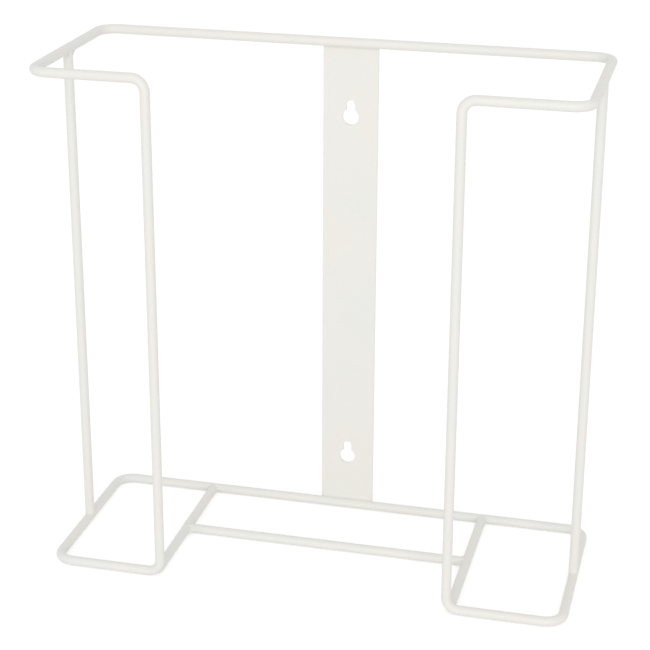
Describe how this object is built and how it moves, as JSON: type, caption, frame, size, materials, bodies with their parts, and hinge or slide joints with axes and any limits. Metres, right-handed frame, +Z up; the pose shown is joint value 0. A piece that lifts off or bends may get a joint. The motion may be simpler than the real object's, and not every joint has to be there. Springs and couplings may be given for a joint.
{
  "type": "wall-mounted wire glove box holder",
  "caption": "Open wire holder that hangs on a wall from a keyhole strip and keeps stacked boxes of disposable gloves on edge, with a gap between front legs to pull gloves.",
  "frame": {"origin": "middle of the footprint, on the plane under the bottom loop", "axes": "+Z up, +Y into the wall, -Y towards the user, +X to the right as seen by the user"},
  "size_m": [0.2668, 0.1046, 0.2618],
  "materials": {
    "coated_wire": "white baked coating over steel wire, soft gloss",
    "coated_strip": "white baked coating over sheet steel, satin"
  },
  "bodies": {
    "root": {"wire_loop": "coated_wire", "left_upright": "coated_wire", "right_upright": "coated_wire", "left_floor_wire": "coated_wire", "right_floor_wire": "coated_wire", "mid_floor_rail": "coated_wire", "mounting_strip": "coated_strip"}
  },
  "joints": []
}
